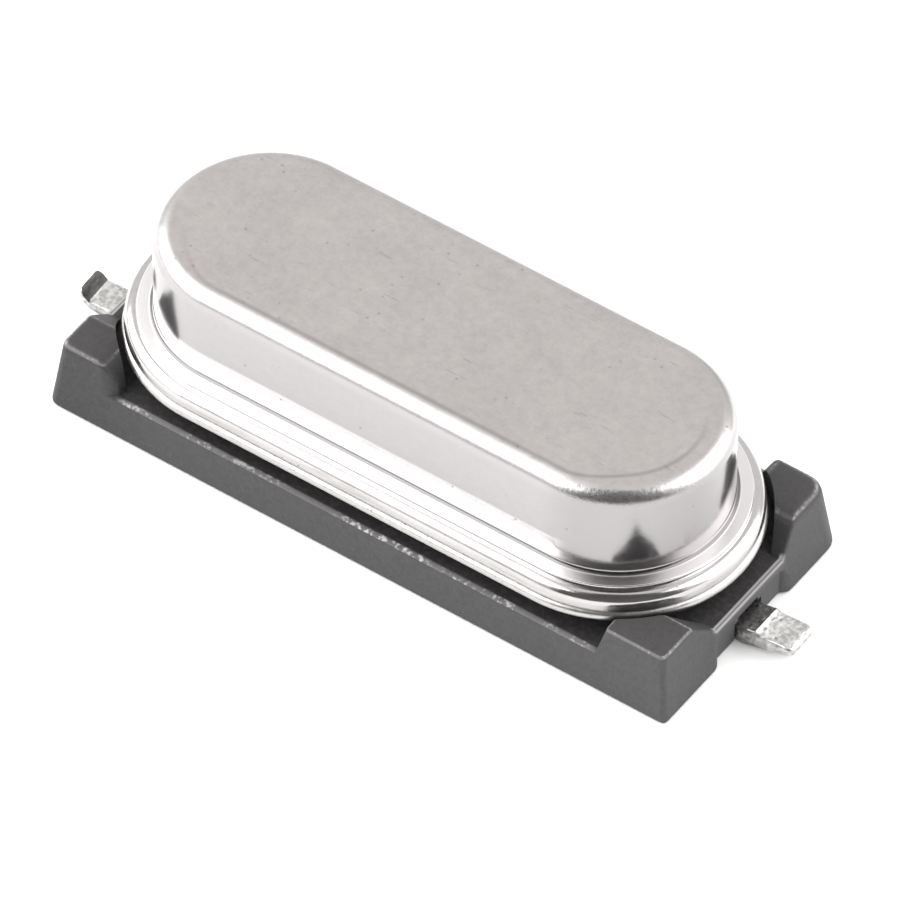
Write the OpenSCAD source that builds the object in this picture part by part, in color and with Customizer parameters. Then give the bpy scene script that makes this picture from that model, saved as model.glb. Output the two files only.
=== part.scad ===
// Low-profile surface-mount quartz crystal on a moulded base.
// Frame: +X along the length, +Y across, +Z up; origin at the middle of the underside.
// All sizes in millimetres.

/* [Base] */
// Length of the moulded base at its widest, just above the foot chamfer
base_l = 11.4; // [11.2:0.1:12.4]
// Width of the moulded base at its widest
base_w = 4.7; // [4.65:0.05:5.2]
// Height of the side rails and end sills
rail_h = 0.74; // [0.7:0.02:0.9]
// How far the corner blocks rise above the underside of the flange they hold
block_lap = 0.2; // [0.1:0.02:0.26]
// Gap between the rails and the underside of the flange
undercut_h = 0.34; // [0.2:0.02:0.6]
// Inward lean of the outer faces over the height of a block
draft = 0.15; // [0.05:0.01:0.2]
// Radius of the upright corners
corner_r = 0.18; // [0.14:0.02:0.5]
// Chamfer round the underside
foot_chamfer = 0.07; // [0.02:0.01:0.12]
// Length of a corner block along the side, at its top
block_l = 1.05; // [0.8:0.05:1.4]
// Run of the slope from a block down to the rail
rail_slope = 0.16; // [0.05:0.01:0.4]
// Width of the low sill at each end
sill_w = 1.72; // [1.2:0.02:2]
// Run of the slope from a block down to the sill
sill_slope = 0.62; // [0.2:0.02:0.7]
// Clearance round the flange in its pocket
pocket_gap = 0.17; // [0.05:0.01:0.22]
// Width of the recess in each end face that the lead leaves through
notch_w = 1.66; // [1:0.02:1.7]
// Depth of the recess in the end face
notch_d = 0.12; // [0.05:0.01:0.2]
// Height of the recess above the foot
notch_h = 0.58; // [0.48:0.02:0.62]
// Margin of the seat inside the edge of the flange
seat_margin = 0.36; // [0.25:0.01:0.6]

/* [Header] */
// Length of the flange
flange_l = 10.92; // [10.6:0.02:11]
// Width of the flange
flange_w = 4.51; // [4.3:0.01:4.54]
// Thickness of the flange
flange_t = 0.26; // [0.18:0.01:0.3]
// Radius along the edge of the flange
flange_edge_r = 0.06; // [0.02:0.01:0.08]
// Height of the plateau above the flange
plateau_h = 0.3; // [0.15:0.05:0.4]
// Clearance between the plateau and the cap
plateau_gap = 0.06; // [0.03:0.01:0.15]
// Diameter of the glass seals
seal_d = 1.3; // [0.9:0.05:1.8]

/* [Cap] */
// Length of the can
can_l = 9.88; // [9.6:0.02:10.1]
// Width of the can
can_w = 3.54; // [3.4:0.02:3.7]
// Height of the can above the flange of the header
can_h = 1.98; // [1.8:0.02:3]
// Wall thickness
can_wall = 0.18; // [0.12:0.01:0.25]
// Radius along the top edge
top_r = 0.28; // [0.26:0.02:0.5]
// Radius where the wall turns out into the skirt
skirt_r = 0.09; // [0.06:0.01:0.14]
// Width of the skirt's upper step outside that radius
skirt_shelf = 0.17; // [0.1:0.01:0.18]
// Height of the skirt's upper step above the header flange
skirt_h = 0.31; // [0.28:0.01:0.34]
// Drop from the skirt's upper step to its lip
skirt_step = 0.07; // [0.04:0.01:0.08]
// Radius along the edge of the lip
lip_r = 0.17; // [0.12:0.01:0.18]
// Width of the header flange left bare outside the lip
flange_bare = 0.035; // [0.02:0.005:0.06]

/* [Leads] */
// Distance between the two lead wires
lead_pitch = 4.88; // [4.6:0.02:5.2]
// Diameter of the lead wire
lead_d = 0.43; // [0.36:0.01:0.46]
// Radius of the centre line where the wire turns under the base
lead_bend_r = 0.4; // [0.3:0.02:0.5]
// Reach of the left lead from the middle of the part
left_reach = 6.48; // [6.4:0.02:6.8]
// Reach of the right lead from the middle of the part
right_reach = 6.58; // [6.4:0.02:6.8]
// Width of the flattened end of the left lead
left_w = 0.57; // [0.5:0.01:0.7]
// Width of the flattened end of the right lead
right_w = 0.62; // [0.5:0.01:0.7]
// Radius of the corners at the tips, seen from above
tip_r = 0.1; // [0.04:0.02:0.16]
// Thickness of the leads at their tips
tip_t = 0.16; // [0.12:0.01:0.2]
// Height of the underside of the left lead's flattened end above the foot, where its tip turns up
left_lift = 0.08; // [0:0.01:0.12]
// Height of the left lead's tip, which is turned up square
kick_h = 0.42; // [0.38:0.02:0.6]
// Inner radius of that turn
kick_r = 0.05; // [0.02:0.01:0.08]
// Height of the underside of the right lead's tip above the foot
right_lift = 0.25; // [0:0.01:0.3]
// Thickness of the right lead where it leaves the base
root_t = 0.36; // [0.3:0.01:0.4]
// Length of round wire that shows outside the base
crown_out = 0.33; // [0.2:0.01:0.4]
// Sideways set of the left lead about its wire
splay = 3; // [0:0.5:5]
// Clearance round the leads in the base
lead_gap = 0.04; // [0.02:0.01:0.08]

/* [Crystal] */
// Length of the quartz strip
blank_l = 7.6; // [7:0.1:8]
// Width of the quartz strip
blank_w = 1.8; // [1.4:0.1:2.2]
// Thickness of the quartz strip
blank_t = 0.16; // [0.1:0.01:0.25]
// Length of the electrode pads
pad_l = 3.2; // [2.4:0.1:4]
// Width of the electrode pads
pad_w = 1.3; // [0.8:0.1:1.3]
// Width of the strips that lead to the pads
tab_w = 0.5; // [0.3:0.05:0.7]
// Thickness of the electrode films
film_t = 0.02; // [0.02:0.01:0.03]
// Length of lead wire above the plateau
post_h = 0.32; // [0.2:0.02:0.4]
// Sheet thickness of the clips
clip_t = 0.08; // [0.06:0.01:0.1]
// Width of the clips
clip_w = 1; // [0.6:0.1:1.4]
// Rise of the clip from its foot to its shelf
clip_rise = 0.2; // [0.15:0.01:0.3]
// Length of strip that rests on each shelf
clip_hold = 0.45; // [0.3:0.05:0.6]
// Height of the cement above the strip
cement_h = 0.1; // [0.06:0.01:0.15]

/* [Hidden] */
$fn = 96;

// Clearance between pieces that touch along a round or an upright face
fit_gap = 0.01;
// Overshoot that carries a cut clear of the face it starts from
cut = 0.5;

LEFT = -1;
RIGHT = 1;

// Heights of the stack, from the underside up
seat_z = rail_h + undercut_h;
block_h = seat_z + block_lap;
weld_z = seat_z + flange_t;
skirt_z = weld_z + skirt_h;
top_z = weld_z + can_h;
plateau_z = weld_z + plateau_h;
post_z = plateau_z + post_h;
shelf_z = post_z + clip_rise;
blank_z = shelf_z + clip_t;
film_z = blank_z + blank_t;

// Inner end of the clips' shelves
shelf_in = blank_l / 2 - clip_hold - clip_t;

// Outer radii of the racetrack outlines, measured from the long axis
flange_r = flange_w / 2;
can_r = can_w / 2;
bore_r = can_r - can_wall;
step_r = can_r + skirt_r + skirt_shelf;
lap_r = flange_r - flange_bare;

// Straight lengths between the round ends
flange_run = flange_l - flange_w;
can_run = can_l - can_w;

lead_x = lead_pitch / 2;
wire_z = lead_d / 2;
heel_x = base_l / 2;
blade_x = heel_x - right_w;

// ---- shapes used by several pieces

// Solid swept round a racetrack: its half-section is drawn by children, x outward and y up
module racetrack(run) {
    for (side = [LEFT, RIGHT])
        translate([side * run / 2, 0, 0])
            rotate([0, 0, -90 * side])
                rotate_extrude(angle = 180) children();
    for (side = [0, 1])
        mirror([0, side, 0])
            translate([-run / 2, 0, 0])
                rotate([90, 0, 90])
                    linear_extrude(run) children();
}

// Half-section of a plain plate of outer radius r between two heights
module plate_section(r, low, high) {
    translate([0, low]) square([r, high - low]);
}

// Half-section of a plate whose upper rim is rounded to radius round
module domed_section(r, low, high, round) {
    plate_section(r, low, high - round);
    plate_section(r - round, low, high);
    translate([r - round, high - round]) circle(round);
}

// ---- base

// Outline of the base: a chamfered foot, then sides that lean inward up to the top of the blocks
module drafted_block() {
    hull()
        for (sx = [LEFT, RIGHT], sy = [LEFT, RIGHT]) {
            at_corner(sx, sy, 0)
                cylinder(h = foot_chamfer, r1 = corner_r - foot_chamfer, r2 = corner_r, $fn = 32);
            at_corner(sx, sy, draft)
                cylinder(h = block_h, r = corner_r, $fn = 32);
        }
}

module at_corner(sx, sy, inset) {
    x = base_l / 2 - corner_r - inset;
    y = base_w / 2 - corner_r - inset;
    translate([sx * x, sy * y, 0]) children();
}

// Trough that leaves a low wall of height rail_h between two sloping steps
module trough(width, slope, length) {
    rise = block_h - rail_h;
    reach = slope * (rise + cut) / rise;
    rotate([90, 0, 0])
        linear_extrude(length, center = true)
            polygon([[-width / 2, rail_h], [width / 2, rail_h],
                     [width / 2 + reach, block_h + cut], [-width / 2 - reach, block_h + cut]]);
}

module base() {
    rail_run = base_l - 2 * (draft + block_l + rail_slope);
    color([0.28, 0.28, 0.29])
    difference() {
        union() {
            difference() {
                drafted_block();
                trough(rail_run, rail_slope, base_w + cut);
                rotate([0, 0, 90]) trough(sill_w, sill_slope, base_l + cut);
                racetrack(flange_run)
                    plate_section(flange_r + pocket_gap, rail_h, block_h + cut);
            }
            racetrack(flange_run)
                plate_section(flange_r - seat_margin, rail_h / 2, seat_z);
        }
        for (side = [LEFT, RIGHT]) {
            lead_way(side);
            translate([side * base_l / 2, 0, 0])
                cube([2 * notch_d, notch_w, 2 * notch_h], center = true);
        }
    }
}

// Room for a lead: the upright hole, the slot that its bend turns in and the channel underneath
module lead_way(side) {
    clear = lead_d / 2 + lead_gap;
    blade_clear = (side == LEFT ? left_w : right_w) / 2 + lead_gap;
    set_lead(side) {
        translate([lead_x, 0, -cut]) cylinder(h = seat_z + 2 * cut, r = clear);
        translate([lead_x, -clear, -cut]) cube([lead_bend_r, 2 * clear, cut + wire_z + lead_bend_r]);
        translate([lead_x, -clear, -cut]) cube([base_l / 2, 2 * clear, cut + lead_d + lead_gap]);
        translate([blade_x - lead_gap, -blade_clear, -cut])
            cube([base_l / 2, 2 * blade_clear, cut + root_t + lead_gap]);
    }
}

// ---- header and seals

module header() {
    color([0.72, 0.71, 0.7])
    difference() {
        union() {
            racetrack(flange_run) flange_section();
            racetrack(can_run)
                plate_section(bore_r - plateau_gap, seat_z + flange_t / 2, plateau_z);
        }
        for (side = [LEFT, RIGHT])
            translate([side * lead_x, 0, seat_z - cut])
                cylinder(h = plateau_z - seat_z + 2 * cut, d = seal_d);
    }
}

module flange_section() {
    plate_section(flange_r, seat_z + flange_edge_r, weld_z - flange_edge_r);
    plate_section(flange_r - flange_edge_r, seat_z, weld_z);
    for (z = [seat_z + flange_edge_r, weld_z - flange_edge_r])
        translate([flange_r - flange_edge_r, z]) circle(flange_edge_r);
}

module seal(side) {
    color([0.35, 0.5, 0.5])
    translate([side * lead_x, 0, seat_z])
        difference() {
            cylinder(h = plateau_z - seat_z, r = seal_d / 2 - fit_gap);
            translate([0, 0, -cut])
                cylinder(h = plateau_z - seat_z + 2 * cut, r = lead_d / 2 + fit_gap);
        }
}

// ---- cap

module cap() {
    color([0.78, 0.76, 0.74])
    difference() {
        union() {
            racetrack(can_run) can_section();
            racetrack(flange_run) lap_section();
        }
        racetrack(can_run) hollow_section();
    }
}

// Outside of the can, down to the upper step of its skirt
module can_section() {
    domed_section(can_r, weld_z, top_z, top_r);
    plate_section(step_r, weld_z, skirt_z);
    difference() {
        plate_section(can_r + skirt_r, weld_z, skirt_z + skirt_r);
        translate([can_r + skirt_r, skirt_z + skirt_r]) circle(skirt_r);
    }
}

// Rounded lip round the foot of the skirt, lapped onto the header flange
module lap_section() {
    lip_z = skirt_z - skirt_step;
    intersection() {
        plate_section(lap_r, weld_z, lip_z);
        domed_section(lap_r, weld_z, lip_z, lip_r);
    }
}

// Inside of the can
module hollow_section() {
    domed_section(bore_r, weld_z - cut, top_z - can_wall, top_r - can_wall);
}

// ---- leads

// Children are drawn for a lead that runs out along +X, and set on their own side of the part
module set_lead(side) {
    mirror([side == LEFT ? 1 : 0, 0, 0])
        translate([lead_x, 0, 0])
            rotate([0, 0, side == LEFT ? -splay : 0])
                translate([-lead_x, 0, 0]) children();
}

// Round wire: down from the clip, round the bend and out to the shoulder where it is pressed flat
module lead_wire() {
    turn_x = lead_x + lead_bend_r;
    turn_z = wire_z + lead_bend_r;
    shoulder_x = base_l / 2 - notch_d + crown_out - wire_z;
    translate([lead_x, 0, turn_z]) cylinder(h = post_z - turn_z, r = wire_z);
    translate([turn_x, 0, turn_z])
        rotate([90, 0, 0])
            rotate([0, 0, 180]) rotate_extrude(angle = 90) translate([lead_bend_r, 0]) circle(wire_z);
    translate([turn_x, 0, wire_z]) rotate([0, 90, 0]) cylinder(h = shoulder_x - turn_x, r = wire_z);
    translate([shoulder_x, 0, wire_z]) sphere(wire_z);
}

// Flattened end: its side view is drawn by children, and its outline from above has rounded tip corners
module blade(reach, width) {
    corner_x = reach - tip_r;
    corner_y = width / 2 - tip_r;
    intersection() {
        rotate([90, 0, 0]) linear_extrude(width, center = true) children();
        linear_extrude(block_h) {
            translate([blade_x, -width / 2]) square([corner_x - blade_x, width]);
            translate([blade_x, -corner_y]) square([reach - blade_x, 2 * corner_y]);
            for (sy = [LEFT, RIGHT]) translate([corner_x, sy * corner_y]) circle(tip_r);
        }
    }
}

// Side view of a blade with a level top that thins to tip_t and is then turned up square
module turned_up() {
    turn_r = kick_r + tip_t;
    turn_x = left_reach - turn_r;
    turn_z = left_lift + turn_r;
    level_t = left_lift + tip_t;
    polygon([[blade_x, 0], [heel_x, 0], [turn_x, left_lift], [turn_x, level_t], [blade_x, level_t]]);
    translate([turn_x, turn_z])
        difference() {
            intersection() {
                circle(turn_r);
                translate([0, -turn_r]) square(turn_r);
            }
            circle(kick_r);
        }
    translate([left_reach - tip_t, turn_z]) square([tip_t, kick_h - turn_z]);
}

// Side view of a blade that rises and thins from the end face of the base to its tip
module rising() {
    polygon([[blade_x, 0], [heel_x, 0], [right_reach, right_lift], [right_reach, right_lift + tip_t],
             [heel_x, root_t], [blade_x, root_t]]);
}

module lead_left() {
    color([0.8, 0.8, 0.78])
    set_lead(LEFT) {
        lead_wire();
        blade(left_reach, left_w) turned_up();
    }
}

module lead_right() {
    color([0.8, 0.8, 0.78])
    set_lead(RIGHT) {
        lead_wire();
        blade(right_reach, right_w) rising();
    }
}

// ---- crystal unit

// Height of the face that the cement sits on: the top film runs out to the left end
function bond_z(side) = film_z + (side == LEFT ? film_t : 0);

// Folded strip: foot on the lead post, riser, shelf under the quartz and a stop beyond its end
module clip(side) {
    foot_in = lead_x - lead_d;
    stop_x = blank_l / 2 + fit_gap;
    stop_z = bond_z(side);
    color([0.75, 0.72, 0.6])
    mirror([side == LEFT ? 1 : 0, 0, 0])
        rotate([90, 0, 0])
            linear_extrude(clip_w, center = true)
                polygon([[foot_in, post_z], [shelf_in + clip_t, post_z], [shelf_in + clip_t, shelf_z],
                         [stop_x + clip_t, shelf_z], [stop_x + clip_t, stop_z], [stop_x, stop_z],
                         [stop_x, blank_z], [shelf_in, blank_z],
                         [shelf_in, post_z + clip_t], [foot_in, post_z + clip_t]]);
}

module blank() {
    color([0.85, 0.88, 0.9])
    translate([-blank_l / 2, -blank_w / 2, blank_z]) cube([blank_l, blank_w, blank_t]);
}

// Metal film: a rounded pad in the middle and a strip out to tab_end on one side
module electrode(side, z, tab_end) {
    color([0.86, 0.86, 0.84])
    translate([0, 0, z])
        linear_extrude(film_t) {
            square([pad_l - pad_w, pad_w], center = true);
            for (sx = [LEFT, RIGHT]) translate([sx * (pad_l - pad_w) / 2, 0]) circle(d = pad_w);
            translate([side == LEFT ? -tab_end : 0, -tab_w / 2]) square([tab_end, tab_w]);
        }
}

// Bead of cement over the end of the quartz and the stop of the clip
module cement(side) {
    color([0.55, 0.55, 0.55])
    translate([side * blank_l / 2, 0, bond_z(side)])
        cylinder(h = cement_h, r1 = clip_hold - clip_t, r2 = clip_hold / 2);
}

base();
header();
cap();
seal(LEFT);  // seal_left
seal(RIGHT);  // seal_right
lead_left();
lead_right();
clip(LEFT);  // clip_left
clip(RIGHT);  // clip_right
blank();
electrode(LEFT, film_z, blank_l / 2);  // electrode_top
electrode(RIGHT, blank_z - film_t, shelf_in);  // electrode_bottom
cement(LEFT);  // cement_left
cement(RIGHT);  // cement_right
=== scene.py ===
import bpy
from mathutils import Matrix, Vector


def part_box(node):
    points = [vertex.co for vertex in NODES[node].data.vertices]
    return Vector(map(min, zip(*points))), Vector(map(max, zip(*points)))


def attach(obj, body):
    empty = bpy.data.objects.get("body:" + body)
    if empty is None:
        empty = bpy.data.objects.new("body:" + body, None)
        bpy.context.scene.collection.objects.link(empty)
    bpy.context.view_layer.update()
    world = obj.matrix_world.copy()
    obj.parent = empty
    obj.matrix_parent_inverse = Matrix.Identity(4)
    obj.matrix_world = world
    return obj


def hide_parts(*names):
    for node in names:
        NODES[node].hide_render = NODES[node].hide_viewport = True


bl_info = {
    "name": "Low profile crystal oscillator",
    "version": (1, 0, 0),
    "blender": (4, 5, 0),
    "location": "View3D > Sidebar > Crystal",
    "description": "Dresses a surface-mount crystal: moulded base, header, drawn can and formed leads",
    "category": "Object",
}

from math import cos, pi, radians, sin

import bmesh
import bpy
from mathutils import Matrix, Vector

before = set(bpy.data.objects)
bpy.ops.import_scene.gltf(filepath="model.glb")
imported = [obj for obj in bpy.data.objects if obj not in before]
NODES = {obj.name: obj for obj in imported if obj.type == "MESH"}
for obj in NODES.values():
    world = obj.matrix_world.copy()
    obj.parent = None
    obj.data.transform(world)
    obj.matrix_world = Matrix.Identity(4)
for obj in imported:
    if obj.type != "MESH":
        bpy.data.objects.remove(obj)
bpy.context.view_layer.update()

MM = 0.001
CLEAR = 0.05 * MM  # how far a cutting tool stands out of what it cuts
SAME = 1e-7  # points closer than this, in metres, are in one place
ROUND_STEPS = 160  # sides of a full turn on the can, the header and the pocket
MANY_SIDED = ROUND_STEPS / 4  # the level end face of a racetrack shape has more corners than this
WIRE_SIDES = 32  # sides of a full turn on the round wire of the leads
LEFT, RIGHT = -1, 1
NEAR, FAR = -1, 1

CAP_LOW, CAP_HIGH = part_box("cap")
HEADER_LOW, HEADER_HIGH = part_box("header")
BASE_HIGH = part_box("base")[1]
LEAD_LEFT_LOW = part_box("lead_left")[0]
LEAD_RIGHT_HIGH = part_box("lead_right")[1]

# The mould isn't quite the same at its four corner blocks: it is crisp at the near right one, soft at the
# far right one, and worn at the inner end of the near left one.
CORNER_SHARE = {(RIGHT, NEAR): 0.55, (RIGHT, FAR): 2.0, (LEFT, NEAR): 1.0, (LEFT, FAR): 1.0}  # of its radius
TOP_ROUND = {  # rounding of the edges of a block's top
    (LEFT, NEAR): 0.1 * MM, (RIGHT, NEAR): 0.05 * MM, (LEFT, FAR): 0.08 * MM, (RIGHT, FAR): 0.16 * MM,
}
INNER_END_ROUND = {  # the same at its inner end
    (LEFT, NEAR): 0.34 * MM, (RIGHT, NEAR): 0.05 * MM, (LEFT, FAR): 0.1 * MM, (RIGHT, FAR): 0.18 * MM,
}
FLANK_ROUND = {  # the edges that run down from there to the rail
    (LEFT, NEAR): 0.24 * MM, (RIGHT, NEAR): 0.06 * MM, (LEFT, FAR): 0.06 * MM, (RIGHT, FAR): 0.06 * MM,
}
WIDEST_ROUND = max(INNER_END_ROUND.values())
NOTCH_FLARE = 1.3  # width of the cutter of an end recess at its outer side, over its width at the inner side
NOTCH_TOP_ROUND = 0.09 * MM  # rounding of the upper corners of an end recess

PANEL_DISTANCE = 0.62  # of the soft panels from the part, in metres


# ---- sizes and colours


def length(name, description, value):
    """A length in metres, given in millimetres."""
    return bpy.props.FloatProperty(
        name=name, description=description, default=value * MM, min=0.0,
        precision=5, subtype="DISTANCE", unit="LENGTH",
    )


def angle(name, description, degrees):
    return bpy.props.FloatProperty(
        name=name, description=description, default=radians(degrees), subtype="ANGLE", unit="ROTATION"
    )


def share(name, description, value, high=1.0):
    return bpy.props.FloatProperty(name=name, description=description, default=value, min=0.0, max=high)


def colour(name, description, value):
    return bpy.props.FloatVectorProperty(
        name=name, description=description, default=value, size=3, min=0.0, max=1.0, subtype="COLOR"
    )


class CrystalBaseSizes(bpy.types.PropertyGroup):
    draft: length("Draft", "How far the sides lean in from the foot to the block tops", 0.15)
    corner_r: length("Corner radius", "Radius of the upright corners", 0.18)
    foot_round: length("Foot edge", "Rounding of the edge that stands on the board", 0.07)
    rail_h: length("Rail height", "Height of the low long sides", 0.74)
    block_l: length("Block length", "Length of a corner block along its top", 1.05)
    rail_slope: length("Block end slope", "Run of the slope at the inner end of a block", 0.16)
    sill_w: length("Sill width", "Level width of the sill between two blocks", 1.72)
    sill_slope: length("Sill slope", "Run of the slope from the sill up to a block", 0.62)
    pocket_gap: length("Pocket gap", "Gap between the flange and the blocks", 0.09)
    seat_margin: length("Seat margin", "How far the flange stands out past its seat", 0.36)
    notch_w: length("Notch width", "Width of the recess in each end face", 1.66)
    notch_d: length("Notch depth", "Depth of the recess in each end face", 0.12)
    notch_h: length("Notch height", "Height of the recess in each end face", 0.58)
    edge_round: length("Edge round", "Rounding of the ordinary moulded edges", 0.05)


class CrystalHeaderSizes(bpy.types.PropertyGroup):
    rim_r: length("Rim radius", "Radius of the rounded rim of the flange", 0.09)
    plateau_gap: length("Plateau gap", "Gap between the raised plateau and the can", 0.06)
    seal_d: length("Seal bore", "Diameter of the holes for the glass seals", 1.3)


class CrystalCanSizes(bpy.types.PropertyGroup):
    body_w: length("Can width", "Width over the upright walls", 3.54)
    wall: length("Wall", "Thickness of the drawn sheet", 0.18)
    top_r: length("Top radius", "Radius between the walls and the top", 0.28)
    foot_r: length("Foot radius", "Hollow radius between the wall and the skirt", 0.09)
    shelf_w: length("Skirt shelf", "Width of the skirt's upper step outside that radius", 0.17)
    skirt_h: length("Skirt height", "Height of the skirt's upper step above the weld", 0.31)
    step_h: length("Skirt step", "Drop from the skirt's upper step to its lip", 0.07)
    step_r: length("Step radius", "Radius along the edge of the skirt's upper step", 0.022)
    lip_r: length("Lip radius", "Radius along the edge of the lip", 0.17)


class CrystalLeadSizes(bpy.types.PropertyGroup):
    pitch: length("Pitch", "Distance between the two leads where they pass the header", 4.88)
    wire_d: length("Wire", "Diameter of the round wire", 0.43)
    bend_r: length("Bend radius", "Radius of the wire's centreline under the base", 0.4)
    gap: length("Clearance", "Clearance of the leads in the base", 0.04)
    left_w: length("Left width", "Width of the turned-up blade", 0.57)
    right_w: length("Right width", "Width of the rising blade", 0.62)
    root_t: length("Root thickness", "Thickness of the blades where they leave the base", 0.36)
    root_l: length("Root length", "Length of the blades inside the base", 0.62)
    tip_t: length("Tip thickness", "Thickness of the blades at the tip", 0.16)
    tip_r: length("Tip corners", "Radius of the tip corners seen from above", 0.1)
    left_lift: length("Left lift", "Lift of the left blade before its tip turns up", 0.08)
    kick_h: length("Turned-up height", "Height of the turned-up tip", 0.42)
    kick_r: length("Turn radius", "Inner radius of the turned-up tip", 0.05)
    right_lift: length("Right lift", "Lift of the right blade's underside at its tip", 0.25)
    edge_round: length("Edge round", "Rounding of the pressed edges", 0.04)
    tuck: length("Tuck", "How far inside the base the round wire begins to flatten", 0.5)
    crest: length("Crest", "Height of the shoulder left by the press tool on the right blade", 0.04)
    splay: angle("Splay", "Turn of the left lead away from the long axis", 3.0)


class CrystalFinishes(bpy.types.PropertyGroup):
    can: colour("Can", "Nickel of the drawn can", (0.49, 0.474, 0.474))
    top: colour("Top", "Nickel of the tumbled top", (0.415, 0.392, 0.382))
    stain: colour("Draw marks", "Duller streaks along the skirt", (0.25, 0.235, 0.215))
    can_gloss: share("Can roughness", "Roughness of the can walls", 0.155)
    radius_matt: share("Radius roughness", "Roughness of the top radius", 0.22)
    top_matt: share("Top roughness", "Roughness of the tumbled top", 0.34)
    header: colour("Header", "Nickel of the header flange", (0.45, 0.44, 0.43))
    lead: colour("Leads", "Tinned finish of the leads", (0.54, 0.528, 0.52))
    # painted dark reflection: colour of the inner face of the turned-up tip
    tip_dark_reflection: colour("Bare metal", "Cut face of the turned-up tip, which has no tin", (0.07, 0.067, 0.066))
    plastic: colour("Base", "Moulded plastic of the base", (0.044, 0.042, 0.043))
    # partly painted light: side faces lighter than the tops; partly rubbed plastic
    scuff_and_side_light: colour("Scuffs", "Rubbed plastic on the side faces", (0.056, 0.055, 0.057))
    # painted shade: the darker colour of the recess round the header, where the flange shades it
    recess: colour("Recess", "Unrubbed plastic in the recess round the header", (0.023, 0.0215, 0.0225))
    # partly painted highlight: colour of the bright lines along the edges; partly worn flecks
    fleck_and_edge_highlight: colour("Flecks", "Bright worn flecks along the rails", (0.5, 0.49, 0.48))
    glass: colour("Seals", "Glass of the seals", (0.09, 0.2, 0.19))
    clip: colour("Clips", "Spring clips that hold the blank", (0.5, 0.48, 0.44))
    quartz: colour("Quartz", "Polished quartz blank", (0.86, 0.88, 0.9))
    electrode: colour("Electrodes", "Silver film on the blank", (0.8, 0.79, 0.76))
    cement: colour("Cement", "Conductive cement at the clips", (0.36, 0.35, 0.34))
    floor: colour("Floor", "Pale floor of the stage", (0.92, 0.92, 0.92))


class CrystalStageSettings(bpy.types.PropertyGroup):
    azimuth: angle("Azimuth", "Turn of the camera round the part", 35.022)
    elevation: angle("Elevation", "Height angle of the camera", 47.348)
    roll: angle("Roll", "Turn of the camera about its own line of sight", 0.282)
    distance: length("Distance", "Distance of the camera from its target", 239.254)
    target_h: length("Target height", "Height of the point the camera is aimed past", 1.6)
    target_right: length("Target right", "Shift of the aim to the right", 0.102)
    target_down: length("Target down", "Shift of the aim downwards", 0.793)
    lens: bpy.props.FloatProperty(
        name="Lens", description="Focal length on a 36 mm sensor, in millimetres", default=636.48
    )
    sky: share("Sky", "Strength of the even light from all round", 1.15, 10.0)
    panel_left: share("Left panel", "Brightness of the soft panel on the left", 3.9, 20.0)
    panel_right: share("Right panel", "Brightness of the soft panel on the right", 2.6, 20.0)


GROUPS = {
    "crystal_base": CrystalBaseSizes,
    "crystal_header": CrystalHeaderSizes,
    "crystal_can": CrystalCanSizes,
    "crystal_lead": CrystalLeadSizes,
    "crystal_finish": CrystalFinishes,
    "crystal_stage": CrystalStageSettings,
}


# ---- bench work: small helpers round Blender's own tools


def clear_selection():
    active = bpy.context.view_layer.objects.active
    if active is not None and active.mode != "OBJECT":
        stop_editing()
    bpy.ops.object.select_all(action="DESELECT")


def make_active(piece):
    """Selects one piece, and nothing else."""
    clear_selection()
    piece.select_set(True)
    bpy.context.view_layer.objects.active = piece


def start_piece(name):
    """Names the primitive just added and moves its place into its mesh."""
    piece = bpy.context.view_layer.objects.active
    piece.name = piece.data.name = name
    bpy.ops.object.transform_apply(location=True, rotation=True, scale=True)
    return piece


def add_box(name, low, high):
    """A cube between two corners."""
    clear_selection()
    low, high = Vector(low), Vector(high)
    bpy.ops.mesh.primitive_cube_add(size=1, location=(low + high) / 2, scale=high - low)
    return start_piece(name)


def add_rod(name, radius, low, high, sides=48):
    """An upright cylinder from the middle of its foot to the middle of its head."""
    clear_selection()
    low, high = Vector(low), Vector(high)
    bpy.ops.mesh.primitive_cylinder_add(
        vertices=sides, radius=radius, depth=(high - low).length, location=(low + high) / 2
    )
    return start_piece(name)


def add_racetrack(name, radius, run, z, height):
    """An upright block with two straight sides of length run and two round ends, left in edit mode."""
    clear_selection()
    bpy.ops.mesh.primitive_circle_add(
        vertices=ROUND_STEPS, radius=radius, fill_type="NGON", location=(0, 0, z),
        rotation=(0, 0, pi / ROUND_STEPS),
    )
    piece = start_piece(name)
    edit(piece, "VERT")
    for side in (LEFT, RIGHT):
        pick(piece, "verts", lambda v: v.co.x * side > 0)
        bpy.ops.transform.translate(value=(side * run / 2, 0, 0))
    pick(piece, "faces", lambda f: True)
    extrude(z=height)
    face_outwards()
    return piece


def edit(piece, mode="FACE"):
    """Opens a piece in edit mode with nothing selected."""
    make_active(piece)
    bpy.ops.object.mode_set(mode="EDIT")
    bpy.ops.mesh.select_mode(type=mode)
    bpy.ops.mesh.select_all(action="DESELECT")


def pick(piece, kind, test):
    """Selects the vertices, edges or faces of a piece in edit mode that pass a test."""
    mode = {"verts": "VERT", "edges": "EDGE", "faces": "FACE"}[kind]
    bpy.ops.mesh.select_mode(type=mode)
    bpy.ops.mesh.select_all(action="DESELECT")
    shape = bmesh.from_edit_mesh(piece.data)
    found = [part for part in getattr(shape, kind) if test(part)]
    if not found:
        raise RuntimeError(f"{piece.name}: nothing of its {kind} was found to work on")
    for part in found:
        part.select_set(True)
    shape.select_flush_mode()
    bmesh.update_edit_mesh(piece.data)


def extrude(x=0, z=0):
    """Pulls the selected faces out along X and Z."""
    bpy.ops.mesh.extrude_region_move(TRANSFORM_OT_translate={"value": (x, 0, z)})


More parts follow.
